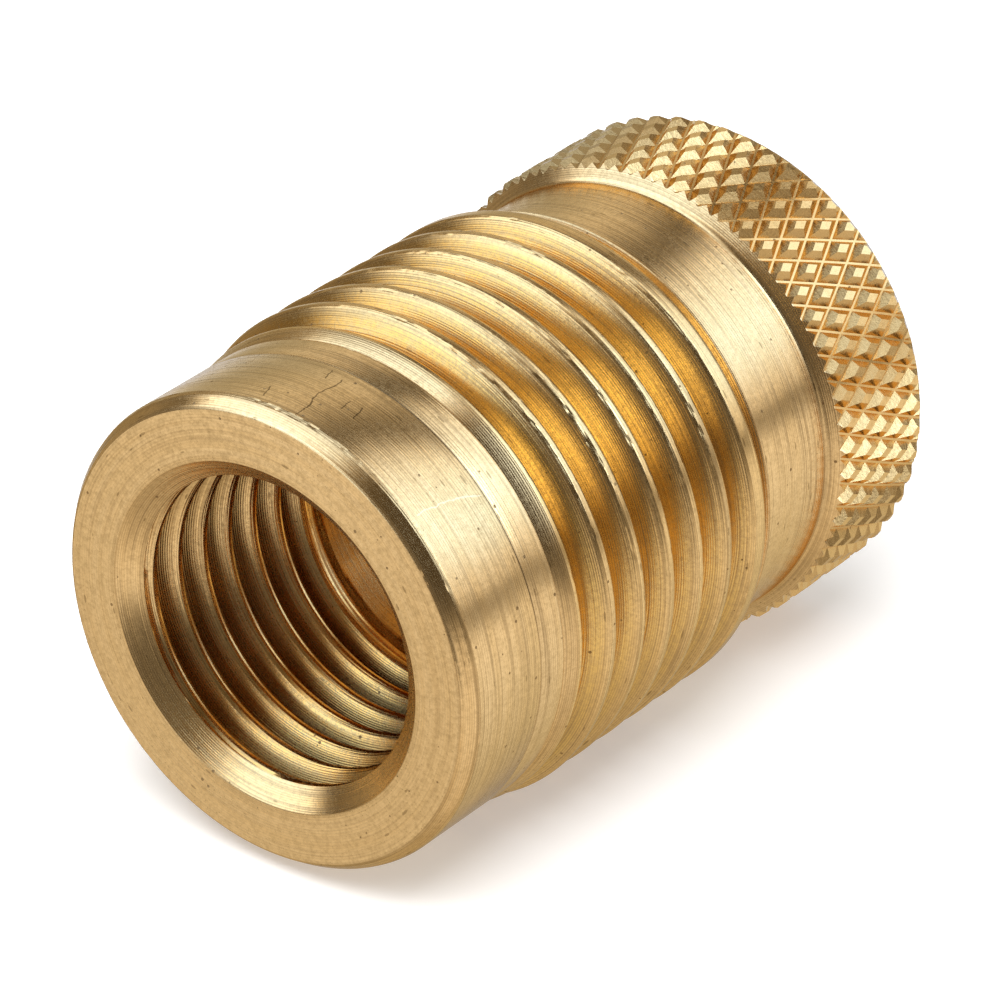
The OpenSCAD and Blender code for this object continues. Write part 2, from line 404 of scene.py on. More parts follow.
def add_thread(skin, top_ring, bottom_ring, top_z, bottom_z):
    """Right-hand thread whose rows of faces climb with the helix and end on two rings."""
    # Half the width of the standard's flat crest
    crest = THREAD_PITCH / 8
    turns = math.ceil((top_z - bottom_z) / THREAD_PITCH) + 2
    c = np.arange(BORE_COLUMNS)
    m = np.arange((turns + 2) * THREAD_STEPS)
    start = bottom_z - 2 * THREAD_PITCH + THREAD_PHASE
    z = start + THREAD_PITCH * (m[:, None] / THREAD_STEPS + c[None, :] / BORE_COLUMNS)
    from_crest = THREAD_PITCH * (m % THREAD_STEPS) / THREAD_STEPS
    from_crest = np.minimum(from_crest, THREAD_PITCH - from_crest)[:, None] * np.ones_like(z)
    sharp = np.clip((from_crest - crest) / TAN30, 0, THREAD_DEPTH)
    rounded = THREAD_DEPTH * (0.5 - 0.5 * np.cos(2 * math.pi * from_crest / THREAD_PITCH))
    depth = sharp + (rounded - sharp) * THREAD_ROUNDING
    s = TOTAL_L - z
    depth = np.minimum(depth, np.clip((s - THREAD_START) / TAN30, 0, None))
    depth *= np.clip((THREAD_END - s) / THREAD_FADE, 0, 1)
    a = 2 * math.pi * c / BORE_COLUMNS
    r = BORE_R + depth
    xyz = np.stack([r * np.cos(a), r * np.sin(a), z], 2)
    # Points past an end, or nearer to it than this, are the end ring's own
    near = 0.02
    inside = (z < top_z - near) & (z > bottom_z + near)
    index = np.where(z >= top_z - near, top_ring[c][None, :], bottom_ring[c][None, :])
    index[inside] = skin.add(xyz[inside])
    for row in range(turns * THREAD_STEPS):
        a0, a1 = index[row], np.append(index[row][1:], index[row + THREAD_STEPS][0])
        b0, b1 = index[row + 1], np.append(index[row + 1][1:], index[row + 1 + THREAD_STEPS][0])
        for face in np.stack([b0, b1, a1, a0], 1).tolist():
            face = [v for n, v in enumerate(face) if v != face[n - 1]]
            if len(set(face)) > 2:
                skin.faces.append(face)


def add_turned_rings(skin):
    """Rings of the turned outside up to the countersink's foot, worn and with burrs."""
    rings = []
    before = (0, 0)
    outline = turned_outline()
    for r, z, cut in outline[:-1]:
        if math.dist((r, z), before) > WORN_ALIKE:
            wear = np.abs(wobble(TURNED_COLUMNS, RING_WEAR))
        before = (r, z)
        worn = r - wear
        torn = burrs(TURNED_COLUMNS) if cut > BURR_EDGE else 0
        worn = worn - EDGE_WORN * cut + torn * cut * np.where(torn > 0, BURR_OUT, BURR_IN)
        level = np.minimum(z + BURR_LEAN * cut * torn, TOTAL_L)
        rings.append(skin.ring(np.minimum(worn, r), level, TURNED_COLUMNS))
    rings.append(skin.ring(*outline[-1][:2], BORE_COLUMNS))
    return rings


def build_insert():
    skin = Skin()
    rim, cone = add_knurl(skin)
    rings = [cone] + add_turned_rings(skin)
    for low, high in zip(rings, rings[1:]):
        skin.join(low, high)
    bottom_z = TOTAL_L - THREAD_END - THREAD_RUNOUT
    drilled = skin.ring(BORE_R, bottom_z, BORE_COLUMNS)
    add_thread(skin, rings[-1], drilled, TOTAL_L - MOUTH_DEPTH, bottom_z)
    last = drilled
    for r, z in ((BORE_R, bottom_z / 2), (BORE_R, EXIT_BREAK), (BORE_R + EXIT_BREAK, 0)):
        here = skin.ring(r, z, BORE_COLUMNS)
        skin.join(last, here)
        last = here
    face = skin.ring((BORE_R + HEAD_R) / 2, 0, TURNED_COLUMNS)
    skin.join(last, face)
    skin.join(face, rim)
    mesh = bpy.data.meshes.new("insert")
    mesh.from_pydata((np.concatenate(skin.points) * MM).tolist(), [], skin.faces)
    mesh.validate()
    mesh.polygons.foreach_set("use_smooth", [True] * len(mesh.polygons))
    mesh.set_sharp_from_angle(angle=SHARP_ANGLE)
    mesh.update()
    piece = bpy.data.objects.new("insert", mesh)
    bpy.context.scene.collection.objects.link(piece)
    return piece


insert = build_insert()


# ---------------------------------------------------------------- nodes

class Nodes:
    """Short calls for building one node tree."""

    def __init__(self, tree):
        self.tree = tree
        tree.nodes.clear()

    def add(self, kind, **settings):
        node = self.tree.nodes.new("ShaderNode" + kind)
        for name, value in settings.items():
            setattr(node, name, value)
        return node

    def put(self, socket, value):
        if isinstance(value, bpy.types.NodeSocket):
            self.tree.links.new(value, socket)
        elif value is not None:
            socket.default_value = value

    def math(self, operation, a, b=None, c=None, clamp=False):
        node = self.add("Math", operation=operation, use_clamp=clamp)
        for socket, value in zip(node.inputs, (a, b, c)):
            self.put(socket, value)
        return node.outputs[0]

    def times(self, first, *others):
        for other in others:
            first = self.math("MULTIPLY", first, other)
        return first

    def vector(self, operation, a, b=None, c=None):
        node = self.add("VectorMath", operation=operation)
        for socket, value in zip(node.inputs, (a, b, c)):
            self.put(socket, value)
        return node.outputs["Value" if operation in ("DOT_PRODUCT", "LENGTH", "DISTANCE") else "Vector"]

    def join(self, *parts):
        """A vector made of its parts."""
        node = self.add("CombineXYZ")
        for socket, part in zip(node.inputs, parts):
            self.put(socket, part)
        return node.outputs[0]

    def span(self, value, low, high, to_low=0.0, to_high=1.0, smooth=True):
        """to_low where the value is under low, to_high where it is over high."""
        kind = "SMOOTHSTEP" if smooth else "LINEAR"
        node = self.add("MapRange", interpolation_type=kind, clamp=True)
        for socket, v in zip(node.inputs, (value, low, high, to_low, to_high)):
            self.put(socket, v)
        return node.outputs[0]

    def fall(self, value, low, high):
        """1 where the value is under low, 0 where it is over high."""
        return self.span(value, low, high, 1.0, 0.0)

    def mix(self, factor, a, b):
        """From colour a to colour b; a plain colour is three numbers."""
        node = self.add("Mix", data_type="RGBA")
        for name, v in (("Factor_Float", factor), ("A_Color", a), ("B_Color", b)):
            socket = next(x for x in node.inputs if x.identifier == name)
            self.put(socket, (*v, 1) if isinstance(v, tuple) else v)
        return next(x for x in node.outputs if x.identifier == "Result_Color")

    def mix_shader(self, factor, a, b):
        node = self.add("MixShader")
        for socket, v in zip(node.inputs, (factor, a, b)):
            self.put(socket, v)
        return node.outputs[0]

    def ramp(self, value, stops):
        node = self.add("ValToRGB")
        elements = node.color_ramp.elements
        while len(elements) < len(stops):
            elements.new(0.5)
        for element, (place, _) in zip(elements, stops):
            element.position = place
        for element, (_, color) in zip(elements, stops):
            element.color = (*color, 1)
        self.put(node.inputs[0], value)
        return node.outputs[0]

    def noise(self, vector, scale, detail=2.0, roughness=0.5, output=0):
        """Noise from 0 to 1, or with output 1 a colour of three such noises."""
        node = self.add("TexNoise")
        self.put(node.inputs["Vector"], vector)
        for name, v in (("Scale", scale), ("Detail", detail), ("Roughness", roughness)):
            self.put(node.inputs[name], v)
        return node.outputs[output]

    def spots(self, vector, scale, share, radius):
        """Small round spots, 0 to 1, in the cells whose random number is over share."""
        node = self.add("TexVoronoi")
        self.put(node.inputs["Vector"], vector)
        node.inputs["Scale"].default_value = scale
        chance = self.vector("DOT_PRODUCT", node.outputs["Color"], (1, 0, 0))
        reach = self.span(chance, share, 1.0, 0.0, radius, smooth=False)
        return self.span(self.math("SUBTRACT", reach, node.outputs["Distance"]), 0.0, 0.05)

    def line(self, point, path, half_width):
        """1 along the broken line through the places in path, 0 beyond half_width from it."""
        nearest = None
        for start, end in zip(path, path[1:]):
            step = Vector((end[0] - start[0], end[1] - start[1], 0))
            off = self.vector("SUBTRACT", point, (*start, 0))
            share = self.vector("DOT_PRODUCT", off, tuple(step))
            share = self.math("DIVIDE", share, step.length_squared, clamp=True)
            away = self.vector("LENGTH", self.vector("MULTIPLY_ADD", share, tuple(-step), off))
            nearest = away if nearest is None else self.math("MINIMUM", nearest, away)
        return self.fall(nearest, 0.35 * half_width, half_width)


# ---------------------------------------------------------------- camera

# Lens and place come from fitting the part's own circles to the picture's frame
IMAGE_SIDE, SENSOR_W = 1000, 36
FOCAL_PX = 5926.0
MOUTH_PX = (262.36, 639.61)
AXIS_TILT, AXIS_ROLL = 0.80449, -0.5739
DISTANCE = 184.5

to_viewer = Vector((math.cos(VIEW_AZIMUTH), math.sin(VIEW_AZIMUTH), 0))
across = Vector((math.sin(VIEW_AZIMUTH), -math.cos(VIEW_AZIMUTH), 0))
into_bore = Vector((0, 0, -1))
# Upward in the photograph, where the part lies on its side
ABOVE_TURN = math.radians(-47)
above = math.cos(ABOVE_TURN) * to_viewer + math.sin(ABOVE_TURN) * across


def add_camera():
    sin_t, cos_t = math.sin(AXIS_TILT), math.cos(AXIS_TILT)
    sin_r, cos_r = math.sin(AXIS_ROLL), math.cos(AXIS_ROLL)
    forward = cos_t * into_bore - sin_t * to_viewer
    right = sin_t * cos_r * into_bore + cos_t * cos_r * to_viewer - sin_r * across
    down = sin_t * sin_r * into_bore + cos_t * sin_r * to_viewer + cos_r * across
    middle = IMAGE_SIDE / 2
    to_mouth = DISTANCE * (
        (MOUTH_PX[0] - middle) / FOCAL_PX * right + (MOUTH_PX[1] - middle) / FOCAL_PX * down + forward
    )
    place = Vector((0, 0, TOTAL_L)) - to_mouth
    data = bpy.data.cameras.new("camera")
    data.sensor_width = SENSOR_W
    data.lens = SENSOR_W * FOCAL_PX / IMAGE_SIDE
    data.clip_start, data.clip_end = 0.001, 10
    camera = bpy.data.objects.new("camera", data)
    rotation = Matrix((right, -down, -forward)).transposed().to_4x4()
    camera.matrix_world = Matrix.Translation(place * MM) @ rotation
    bpy.context.scene.collection.objects.link(camera)
    bpy.context.scene.camera = camera


add_camera()


# ---------------------------------------------------------------- brass

# Soft borders between the kinds of surface: each runs from its first number to its second.
# As radii: the bore, the same a little further out for its tool marks, a groove's wall below its
# crest, the pilot, the head, and the bottoms of the knurl's grooves
BORE_BORDER, BORE_MARKS_BORDER = (6.03, 6.08), (6.1, 6.15)
CREST_BORDER = (8.15, 8.56)
PILOT_BORDER = (PILOT_R - 0.06, PILOT_R - 0.04)
HEAD_BORDER = (HEAD_R - 0.5, HEAD_R - 0.4)
KNURL_ROOT_BORDER = (HEAD_R - 0.235, HEAD_R - 0.15)
# As the radius at which the rim chamfer's cone through a point meets the end face
RIM_BORDER = (HEAD_R - RIM_W - 0.03, HEAD_R - RIM_W - 0.01)
# As heights: the two ends of the end rib's lower side and of the row of ribs, the pilot's foot,
# the head's top, the plain wall below the thread, the countersink's foot, and the end face seen
# from the bore and from outside
RIB_SIDE_FOOT, RIB_SIDE_TOP = (8.37, 8.39), (8.845, 8.855)
RIBS_FOOT, RIBS_TOP = (9.0, 9.3), (19.0, 19.3)
PILOT_FOOT = (19.8, 19.85)
HEAD_TOP = (HEAD_L + 0.02, HEAD_L + 0.08)
THREAD_FOOT = (TOTAL_L - THREAD_END, TOTAL_L - THREAD_END + 0.5)
MOUTH_FOOT = (TOTAL_L - 0.62, TOTAL_L - 0.56)
BORE_TOP, FACE_LEVEL = (TOTAL_L - 0.03, TOTAL_L - 0.01), (TOTAL_L - 0.01, TOTAL_L - 0.004)

# The scribed line's dirt: its half width, and the turns between which it starts and ends
SCRIBE_DIRT_HALF_W = (0.018, 0.036)
SCRIBE_DIRT_START, SCRIBE_DIRT_END = (-0.9, -0.5), (0.3, 0.7)
# How far the cracks and the scratch wander from their straight runs, and how finely
WANDER, WANDER_SCALE = 0.08, 4.0

# Patterns drawn out round the axis: how fine they are across the lines, per mm, and round them
DRIFT_LINES, STREAK_LINES, BROAD_LINES = (0.8, 0.5), (11.0, 1.0), (4.0, 0.8)
FEED_WEAR_LINES, SHORT_MARK_LINES = (1.3, 1.1), (5.0, 11.0)
# Patterns that run alike in all directions, per mm
PATCH_SCALE, GRAIN_SCALE, MOTTLE_SCALE, PIT_SCALE = 0.35, 9.0, 3.5, 3.4

# How high a bump of 1 stands, in metres
BUMP_HEIGHT = 0.00002
# Bumps of the feed's marks, what they gain in the bore, and those of the two kinds of streak
FEED_BUMP, FEED_BUMP_GAIN = 0.045, 0.03
STREAK_BUMP, BROAD_BUMP = 0.23, 0.16
# Bump of the grain, and what it gains on the knurl and the end face
GRAIN_BUMP, GRAIN_BUMP_GAIN = 0.05, 0.16
# How far highlights are drawn out, and which way, as a share of a full turn from the tangent
ANISOTROPY, ANISOTROPY_TURN = 0.6, 0.25

# Clean brass, brightest and a little duller; in the grooves, painted reflection of brass in brass, deeper
# on one side; on the knurl, its own colour, painted shade at its grooves' bottoms and painted shade on
# one side
CLEAN, DULLER = (0.92, 0.58, 0.245), (0.88, 0.54, 0.215)
GROOVE_PAINTED_REFLECTION, PAINTED_SIDE_REFLECTION = (0.9, 0.54, 0.155), (0.82, 0.385, 0.07)
KNURL, KNURL_ROOT_SHADE, KNURL_SIDE_SHADE = (0.78, 0.46, 0.15), (0.76, 0.44, 0.15), (0.4, 0.24, 0.09)
# Painted light and shade in the bore: its lit side, its shaded side and its darker plain wall deep down;
# and the thread's valleys, with dirt and painted shade
BORE_PAINTED_LIGHT, BORE_PAINTED_SHADE = (1.0, 0.64, 0.27), (0.88, 0.445, 0.1)
BORE_DEEP_SHADE, VALLEY_SHADE_AND_DIRT = (0.7, 0.4, 0.13), (0.36, 0.2, 0.055)
# What lies on the brass, with painted shade on the end face's lower side, and a scratch whose pale colour
# also paints a glint
WORN, SANDY, FACE_PAINTED_SHADE = (0.62, 0.38, 0.15), (0.55, 0.34, 0.13), (0.6, 0.36, 0.13)
LINE, MARK, PIT = (0.42, 0.25, 0.1), (0.3, 0.17, 0.06), (0.24, 0.13, 0.05)
CRACK, SCRATCH_AND_GLINT = (0.13, 0.07, 0.03), (1.0, 0.78, 0.47)
# Tint of the reflections at a grazing angle
EDGE_TINT = (0.93, 0.79, 0.55, 1)


class Brass:
    """The brass, with a value for each thing that its colour and bumps depend on.

    Places are in millimetres, turns in radians from the viewer's side.
    """

    def __init__(self, nodes):
        self.n = nodes
        self.find_place()
        self.find_surfaces()
        self.find_flaws()
        self.find_marks()

    def find_place(self):
        n = self.n
        self.place = n.vector("MULTIPLY", n.add("TexCoord").outputs["Object"], (1 / MM,) * 3)
        split = n.add("SeparateXYZ")
        n.put(split.inputs[0], self.place)
        x, y, self.z = split.outputs
        self.r = n.math("SQRT", n.math("ADD", n.times(x, x), n.times(y, y)))
        self.round_x, self.round_y = n.math("DIVIDE", x, self.r), n.math("DIVIDE", y, self.r)
        self.sideways = n.vector("DOT_PRODUCT", self.place, tuple(across))
        toward = n.vector("DOT_PRODUCT", self.place, tuple(to_viewer))
        self.turn = n.math("ARCTAN2", self.sideways, toward)
        # Distance along the outline, near enough, for the tool marks. It falls with the radius,
        # but in the bore and on the end rib's lower side it grows with it.
        low_side_of_rib = n.times(n.span(self.z, *RIB_SIDE_FOOT), n.fall(self.z, *RIB_SIDE_TOP))
        rises = n.math("MAXIMUM", n.fall(self.r, *BORE_MARKS_BORDER), low_side_of_rib)
        sign = n.math("MULTIPLY_ADD", rises, 2.0, -1.0)
        self.along_outline = n.math("MULTIPLY_ADD", self.r, sign, self.z)

    def turned(self, lines):
        """The place for a pattern of lines that is drawn out round the axis."""
        n = self.n
        fine, along = lines
        return n.join(
            n.times(self.along_outline, fine), n.times(self.round_x, along), n.times(self.round_y, along)
        )

    def find_surfaces(self):
        """A mask for each kind of surface."""
        n, r, z = self.n, self.r, self.z
        self.in_bore = n.times(n.fall(r, *BORE_BORDER), n.fall(z, *BORE_TOP))
        self.in_mouth = n.times(self.in_bore, n.span(z, *MOUTH_FOOT))
        self.below_thread = n.times(self.in_bore, n.fall(z, *THREAD_FOOT))
        self.on_face = n.span(z, *FACE_LEVEL)
        in_ribs = n.times(n.span(z, *RIBS_FOOT), n.fall(z, *RIBS_TOP))
        self.in_groove = n.times(in_ribs, n.span(r, *CREST_BORDER, 1.0, 0.2))
        on_head = n.times(n.fall(z, *HEAD_TOP), n.span(r, *HEAD_BORDER))
        # The rim's chamfer is turned, and is the only place on the head this far out
        rim_cone = n.math("MULTIPLY_ADD", z, -RIM_W / RIM_L, r)
        self.on_knurl = n.times(on_head, n.fall(rim_cone, *RIM_BORDER))
        self.in_knurl_root = n.times(self.on_knurl, n.fall(r, *KNURL_ROOT_BORDER))
        self.off_knurl = n.math("SUBTRACT", 1.0, self.on_knurl)

    def find_flaws(self):
        """Flaws on the pilot: the scribed line where it is dirty, hair cracks and a long scratch."""
        n = self.n
        on_pilot = n.times(n.span(self.r, *PILOT_BORDER), n.span(self.z, *PILOT_FOOT))
        # The pilot unrolled, and shifted a little so that straight lines wander
        unrolled = n.join(n.times(self.turn, PILOT_R), n.math("SUBTRACT", TOTAL_L, self.z))
        shift = n.noise(self.place, WANDER_SCALE, output=1)
        shift = n.vector("MULTIPLY_ADD", shift, (2 * WANDER, 2 * WANDER, 0), (-WANDER, -WANDER, 0))
        spot = n.vector("ADD", unrolled, shift)

        def flaw(path, half_width):
            places = [(math.radians(turned_by) * PILOT_R, away) for turned_by, away in path]
            return n.line(spot, places, half_width)

        cracks = 0.0
        for path in CRACKS:
            cracks = n.math("MAXIMUM", flaw(path, CRACK_HALF_W), cracks)
        self.scratch = n.times(flaw(SCRATCH, SCRATCH_HALF_W), on_pilot)
        scribe = n.math("ABSOLUTE", n.math("SUBTRACT", self.z, SCRIBE_Z))
        scribe = n.fall(scribe, *SCRIBE_DIRT_HALF_W)
        dirty_to = n.span(self.turn, *SCRIBE_DIRT_END, 1.0, 0.25)
        scribe = n.times(scribe, n.times(n.span(self.turn, *SCRIBE_DIRT_START), dirty_to))
        self.flaws = n.times(n.math("MAXIMUM", cracks, scribe), on_pilot)

    def find_marks(self):
        """Tool marks, which are an even feed, worn here and there, and uneven streaks; and pits."""
        n = self.n
        drift = n.noise(self.turned(DRIFT_LINES), 1.0, 1.0)
        phase = n.math("MULTIPLY_ADD", drift, 2.0, n.times(self.along_outline, 2 * math.pi / FEED))
        self.wave = n.math("SINE", phase)
        self.streaks = n.noise(self.turned(STREAK_LINES), 1.0, 1.0)
        self.broad = n.noise(self.turned(BROAD_LINES), 1.0, 1.0)
        self.patches = n.noise(self.place, PATCH_SCALE)
        self.grain = n.noise(self.place, GRAIN_SCALE, 3.0, 0.6)
        self.mottle = n.noise(self.place, MOTTLE_SCALE, 3.0, 0.65)
        # Fainter on the end face and below the thread, and none on the knurl
        self.off_knurl_less_face = n.math("MULTIPLY_ADD", self.on_face, -0.6, self.off_knurl)
        here_and_there = n.span(n.noise(self.turned(FEED_WEAR_LINES), 1.0), 0.3, 0.6, 0.3, 1.0)
        above_plain_wall = n.math("MULTIPLY_ADD", self.below_thread, -0.75, 1.0)
        self.wave_depth = n.times(here_and_there, self.off_knurl_less_face, above_plain_wall)
        # Pits: round ones anywhere, and short ones drawn out along the tool marks
        self.pits = n.spots(self.place, PIT_SCALE, 0.78, 0.23)
        short_marks = n.spots(self.turned(SHORT_MARK_LINES), 1.0, 0.7, 0.27)
        self.short_marks = n.times(short_marks, self.off_knurl)

    def bump(self):
        n = self.n
        feed_bump = n.math("MULTIPLY_ADD", self.in_bore, FEED_BUMP_GAIN, FEED_BUMP)
        height = n.times(self.wave, feed_bump, self.wave_depth)
        lined = n.math("MULTIPLY_ADD", self.on_face, -0.7, self.off_knurl)
        height = n.math("MULTIPLY_ADD", n.times(self.streaks, lined), STREAK_BUMP, height)
        height = n.math("MULTIPLY_ADD", n.times(self.broad, lined), BROAD_BUMP, height)
        sandy = n.math("ADD", self.on_knurl, self.on_face)
        sandy = n.math("MULTIPLY_ADD", sandy, GRAIN_BUMP_GAIN, GRAIN_BUMP)
        height = n.math("MULTIPLY_ADD", self.grain, sandy, height)
        node = n.add("Bump")
        node.inputs["Strength"].default_value = 1.0
        node.inputs["Distance"].default_value = BUMP_HEIGHT
        n.put(node.inputs["Height"], height)
        return node.outputs[0]

    def bore_painted_light(self):
        """Painted light and shade in the bore: brighter on its lit side, browner on its shaded side and
        darker on the plain wall deep down.
        """
        n = self.n
        side = n.math("DIVIDE", self.sideways, self.r)
        color = n.mix(n.span(side, -0.6, 0.5), BORE_PAINTED_LIGHT, BORE_PAINTED_SHADE)
        return n.mix(self.below_thread, color, BORE_DEEP_SHADE)

    def color(self):
        """Clean brass under layers, each the amount that shows and its colour."""
        n, turn = self.n, self.turn
        bore_share = n.math("MULTIPLY_ADD", self.in_mouth, -0.6, 0.9)
        mottle_share = n.math("MULTIPLY_ADD", self.on_face, 0.2, 0.34)
        # Painted shade: the end face is darker towards its lower side, as if lit from above
        upward = n.vector("DOT_PRODUCT", self.place, tuple(above))
        shaded_low_side = n.span(upward, -9.0, 8.0, 0.46, 0.0, smooth=False)
        in_streaks = n.times(n.span(self.streaks, 0.48, 0.66), n.span(self.patches, 0.3, 0.7, 0.3, 0.65))
        wave_crests = n.span(self.wave, 0.0, 1.0, 0.0, 0.45)
        thread = n.math("SUBTRACT", self.in_bore, self.in_mouth)
        in_valley = n.times(thread, n.span(self.r, BORE_R + 0.12, BORE_R + 0.5))
        layers = (
            # Painted reflection: brass seen in brass makes the grooves more golden, and more so on one
            # side
            (self.in_groove, GROOVE_PAINTED_REFLECTION),
            (n.times(self.in_groove, n.span(turn, -0.6, -0.3, 0.85, 0.0)), PAINTED_SIDE_REFLECTION),
            # Painted light and shade in the bore
            (n.times(self.in_bore, bore_share), self.bore_painted_light()),
            (n.times(n.span(self.mottle, 0.42, 0.66), mottle_share), WORN),
            # Painted shade on the end face's lower side
            (n.times(self.on_face, shaded_low_side), FACE_PAINTED_SHADE),
            (n.span(self.grain, 0.4, 0.66, 0, 0.34), SANDY),
            (n.times(self.on_knurl, 0.55), KNURL),
            # Painted shade in the bottoms of the knurl's grooves
            (n.times(self.in_knurl_root, 0.8), KNURL_ROOT_SHADE),
            # Painted shade: the knurl is darker on its side turned away from the viewer
            (n.times(self.on_knurl, n.span(turn, -1.3, -0.9, 0.7, 0.0)), KNURL_SIDE_SHADE),
            (n.times(in_streaks, self.off_knurl_less_face), LINE),
            (n.times(wave_crests, self.wave_depth), LINE),
            # Dirt and painted shade in the thread's valleys
            (n.times(in_valley, 0.75), VALLEY_SHADE_AND_DIRT),
            (n.times(self.short_marks, 0.62), MARK),
            (n.times(self.pits, 0.7), PIT),
            (n.times(self.flaws, 0.8), CRACK),
            # A scratch of fresh metal, paler than brass, whose colour also paints a glint
            (n.times(self.scratch, 0.3), SCRATCH_AND_GLINT),
        )
        color = n.mix(n.span(self.broad, 0.3, 0.7), CLEAN, DULLER)
        for amount, over in layers:
            color = n.mix(amount, color, over)
        return color

    def roughness(self):
        n = self.n
        from_streaks = n.span(self.streaks, 0.3, 0.7, 0.18, 0.25)
        rough = n.math("ADD", from_streaks, n.span(self.grain, 0.4, 0.7, 0, 0.08))
        return n.math("MULTIPLY_ADD", self.pits, 0.25, rough)

    def connect(self):
        """The finished surface, put into the material's output."""
        n = self.n
        shader = n.add("BsdfPrincipled")
        tangent = n.add("Tangent", direction_type="RADIAL", axis="Z")
        for name, value in (
            ("Base Color", self.color()),
            ("Metallic", 1.0),
            ("Specular Tint", EDGE_TINT),
            ("Roughness", self.roughness()),
            ("Anisotropic", ANISOTROPY),
            ("Anisotropic Rotation", ANISOTROPY_TURN),
            ("Tangent", tangent.outputs[0]),
            ("Normal", self.bump()),
        ):
            n.put(shader.inputs[name], value)
        n.put(n.add("OutputMaterial").inputs["Surface"], shader.outputs[0])


def new_material(name):
    material = bpy.data.materials.new(name)
    material.use_nodes = True
    return material


def brass_material():
    material = new_material("brass")
    Brass(Nodes(material.node_tree)).connect()
    return material


insert.data.materials.append(brass_material())
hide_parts("insert_body")
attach(insert, "root")


# ---------------------------------------------------------------- studio

# Rows of cards round the part, from low to high. Each card stands at an angle from the viewer's
# side, in degrees, and has a level and a warmth; the brightness runs evenly from one to the next.
LOW_CARDS = (
    (-180, 0.55, -0.2), (-160, 1.0, -0.55), (-140, 0.52, -0.4), (-120, 0.46, -0.3),
    (-100, 0.83, -0.2), (-84, 0.8, -0.1), (-74, 0.5, 0.0), (-64, 0.15, 0.1),
    (-53, 0.08, 0.2), (-48, 0.12, 0.2), (-43, 1.0, 0.0), (-36, 1.4, -0.6), (0, 1.42, -1.2),
    (14, 1.3, -0.9), (24, 1.1, -0.4), (34, 0.95, -0.15), (38, 0.4, 0.0), (42, 0.29, 0.0),
    (46, 0.46, -0.1), (54, 1.02, -0.2), (80, 0.98, -0.25), (100, 0.85, -0.25),
    (120, 0.73, -0.25), (140, 0.62, -0.2), (160, 0.42, -0.1), (180, 0.42, -0.1),
)
SHELF_CARDS = (
    (-180, 0.5, 0.0), (-150, 0.35, 0.1), (-110, 0.3, 0.2), (-95, 0.18, 0.3), (-60, 0.16, 0.3),
    (-40, 0.3, 0.1), (-28, 0.8, -0.3), (-17, 2.7, -1.0), (0, 3.7, -1.1), (17, 2.6, -0.8),
    (28, 0.7, 0.0), (38, 0.35, 0.1), (52, 0.6, 0.0), (68, 0.6, 0.0), (90, 0.55, 0.1),
    (130, 0.6, 0.1), (180, 0.5, 0.0),
)
MIDDLE_CARDS = (
    (-180, 0.8, -0.1), (-150, 0.45, 0.1), (-130, 0.3, 0.1), (-113, 0.12, 0.2),
    (-107, 0.8, 0.0), (-102, 1.9, -0.6), (-92, 1.64, -0.95), (-42, 1.62, -0.95),
    (-35, 1.1, -0.3), (-29, 0.34, 0.2), (-20, 0.08, 0.4), (24, 0.06, 0.3), (37, 0.1, 0.1),
    (46, 0.25, 0.1), (54, 0.85, -0.05), (70, 0.95, -0.1), (84, 0.95, -0.1), (99, 0.84, -0.05),
    (113, 0.8, 0.0), (127, 0.5, 0.1), (150, 0.55, 0.0), (180, 0.8, -0.1),
)
HIGH_CARDS = (
    (-180, 0.96, -0.18), (-174, 1.02, -0.2), (-160, 0.7, 0.0), (-138, 0.08, 0.2),
    (-128, 0.12, 0.2), (-121, 1.2, -0.4), (-113, 1.65, -1.1), (-80, 1.72, -1.2),
    (-66, 1.45, -0.6), (-60, 0.9, 0.0), (-50, 0.35, 0.2), (-37, 0.18, 0.2), (0, 0.17, 0.0),
    (60, 0.13, 0.1), (72, 0.35, 0.1), (80, 0.8, -0.1), (95, 1.0, -0.1), (107, 0.85, 0.0),
    (116, 0.75, 0.05), (133, 0.65, 0.1), (160, 0.75, 0.0), (174, 0.8, -0.05), (180, 0.96, -0.18),
)
# How fast the cards' edges lean with height, as shares of a turn. The low ones stand at their
# own angles this far below the horizon, the middle ones on it.
LOW_LEAN, MIDDLE_LEAN, LOW_DEPTH = 0.12, 0.06, 0.69
# Between which heights one row gives way to the next, as sines of the elevation
LOW_TO_SHELF, SHELF_TO_MIDDLE, MIDDLE_TO_HIGH = (-0.5, -0.38), (-0.25, -0.1), (0.4, 0.75)
# In front of the part, within these shares of a turn, the shelf stands higher
FRONT, FRONT_RISE = (25 / 360, 45 / 360), 0.02
# A pale card low behind the part shows in the rim's chamfer
BEHIND, BEHIND_HEIGHTS, BEHIND_COLOR = (150 / 360, 158 / 360), (-0.84, -0.8), (0.9, 1.25, 2.2)
# Straight below it is dark
BELOW_HEIGHTS, BELOW_COLOR = (-0.985, -0.93), (0.2, 0.18, 0.16)
# What lights everything that isn't a reflection, and what the camera sees
PLAIN_LIGHT, BACKDROP = (0.5, 0.49, 0.475), (1, 1, 1)

# The table's half side and where it fades out, and the key lamp, in metres and watts
FLOOR_HALF, FLOOR_FADE = 0.6, (0.06, 0.1)
FLOOR_COLOR, FLOOR_GLOW = (0.79, 0.787, 0.785, 1), 0.3
KEY_SIZE, KEY_ENERGY, KEY_DISTANCE = 0.2, 1.0, 0.25
KEY_AZIMUTH, KEY_ELEVATION = math.radians(-36), math.radians(25)


def card_color(level, warmth):
    """A grey card's colour; warmth below 0 is the blue-white of the brightest boxes."""
    return (level, level * (1 - 0.38 * warmth), level * (1 - 1.1 * warmth))


